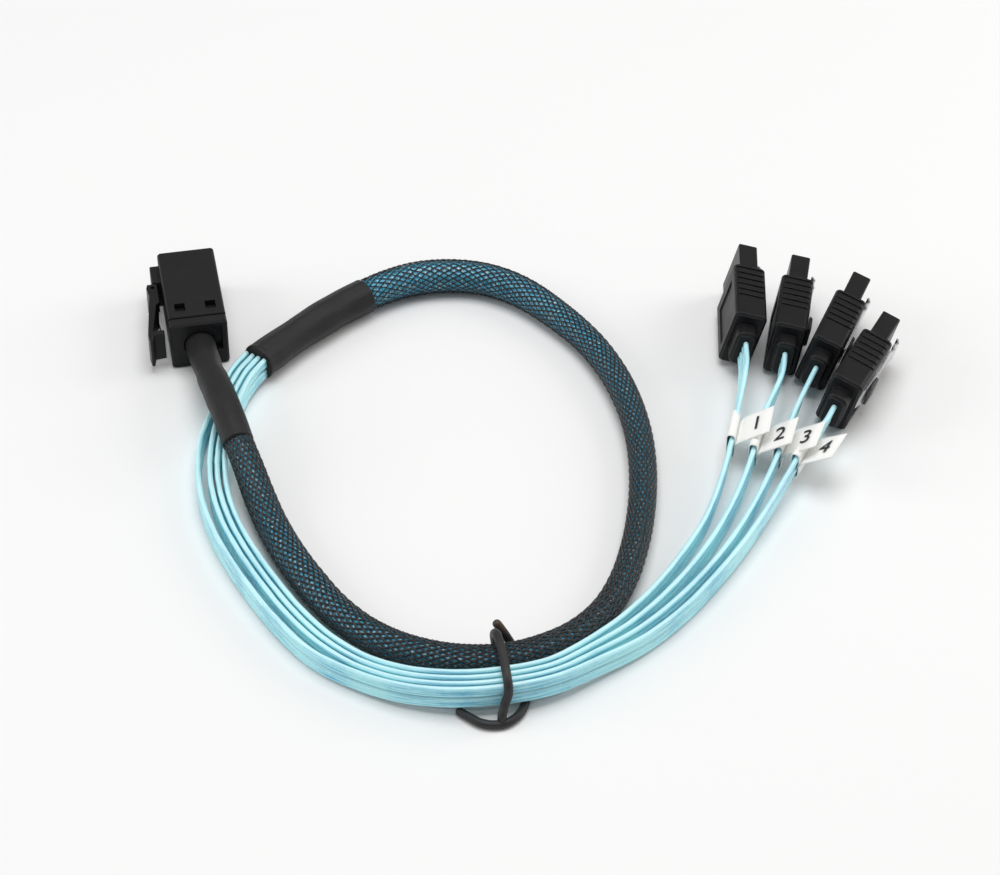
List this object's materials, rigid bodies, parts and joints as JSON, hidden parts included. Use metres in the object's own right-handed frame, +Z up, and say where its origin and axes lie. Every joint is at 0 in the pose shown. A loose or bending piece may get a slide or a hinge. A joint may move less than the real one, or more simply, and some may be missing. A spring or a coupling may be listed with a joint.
{
  "type": "internal mini-SAS HD to four SATA breakout cable",
  "caption": "Internal mini-SAS HD to SATA breakout cable with braided sleeve, blue ribbons and latching plugs, looped and held by a wire tie",
  "frame": {"origin": "middle of the mini-SAS HD plug's underside, on the table", "axes": "+Y is the way the mini-SAS HD plug is pushed in, +X to its right, +Z up from the table"},
  "size_m": [0.168, 0.1544, 0.0164],
  "materials": {
    "shell_plastic": "satin black",
    "plug_plastic": "satin black",
    "nose_plastic": "semi gloss black",
    "spring_steel": "bright",
    "contact_gold": "plated",
    "card": "solder mask",
    "shrink_tube": "satin black",
    "sleeve": "woven monofilament",
    "ribbon_blue": "foil sheen",
    "tie_rubber": "matt black",
    "paper": "matt white"
  },
  "bodies": {
    "root": {"sas_housing": "shell_plastic", "sas_rear_cover": "shell_plastic", "sas_paddle_card_left": "card", "sas_paddle_card_right": "card", "sas_boot_shrink": "shrink_tube", "braided_sleeve": "sleeve", "breakout_shrink": "shrink_tube", "wire_tie": "tie_rubber", "sata_1_overmould": "plug_plastic", "sata_1_nose": "nose_plastic", "sata_1_wafer": "contact_gold", "ribbon_1a": "ribbon_blue", "ribbon_1b": "ribbon_blue", "tag_1": "paper", "sata_2_overmould": "plug_plastic", "sata_2_nose": "nose_plastic", "sata_2_wafer": "contact_gold", "ribbon_2a": "ribbon_blue", "ribbon_2b": "ribbon_blue", "tag_2": "paper", "sata_3_overmould": "plug_plastic", "sata_3_nose": "nose_plastic", "sata_3_wafer": "contact_gold", "ribbon_3a": "ribbon_blue", "ribbon_3b": "ribbon_blue", "tag_3": "paper", "sata_4_overmould": "plug_plastic", "sata_4_nose": "nose_plastic", "sata_4_wafer": "contact_gold", "ribbon_4a": "ribbon_blue", "ribbon_4b": "ribbon_blue", "tag_4": "paper"},
    "sas_latch_body": {"sas_latch": "shell_plastic", "sas_latch_spring": "spring_steel"},
    "sata_1_latch_body": {"sata_1_latch": "spring_steel", "sata_1_press_pad": "plug_plastic"},
    "sata_2_latch_body": {"sata_2_latch": "spring_steel", "sata_2_press_pad": "plug_plastic"},
    "sata_3_latch_body": {"sata_3_latch": "spring_steel", "sata_3_press_pad": "plug_plastic"},
    "sata_4_latch_body": {"sata_4_latch": "spring_steel", "sata_4_press_pad": "plug_plastic"}
  },
  "joints": [
    {"name": "sas_latch_press", "type": "hinge", "parent": "root", "child": "sas_latch_body", "pos_m": [-0.0087, 0.0043, 0.00625], "axis": [0, 0, 1], "range_deg": [0, 2.6], "stiffness_Nm_per_rad": 0.02},
    {"name": "sata_1_latch_press", "type": "hinge", "parent": "root", "child": "sata_1_latch_body", "pos_m": [0.12498, -0.03475, 0.00736], "axis": [0.2462, -0.0541, 0.9677], "range_deg": [0, 2.5], "stiffness_Nm_per_rad": 0.02},
    {"name": "sata_2_latch_press", "type": "hinge", "parent": "root", "child": "sata_2_latch_body", "pos_m": [0.13387, -0.04025, 0.00744], "axis": [0.1424, -0.051, 0.9885], "range_deg": [0, 2.5], "stiffness_Nm_per_rad": 0.02},
    {"name": "sata_3_latch_press", "type": "hinge", "parent": "root", "child": "sata_3_latch_body", "pos_m": [0.14025, -0.04731, 0.00733], "axis": [0.2344, -0.1482, 0.9608], "range_deg": [0, 2.5], "stiffness_Nm_per_rad": 0.02},
    {"name": "sata_4_latch_press", "type": "hinge", "parent": "root", "child": "sata_4_latch_body", "pos_m": [0.14128, -0.06146, 0.00736], "axis": [0.1997, -0.1538, 0.9677], "range_deg": [0, 2.5], "stiffness_Nm_per_rad": 0.02}
  ]
}
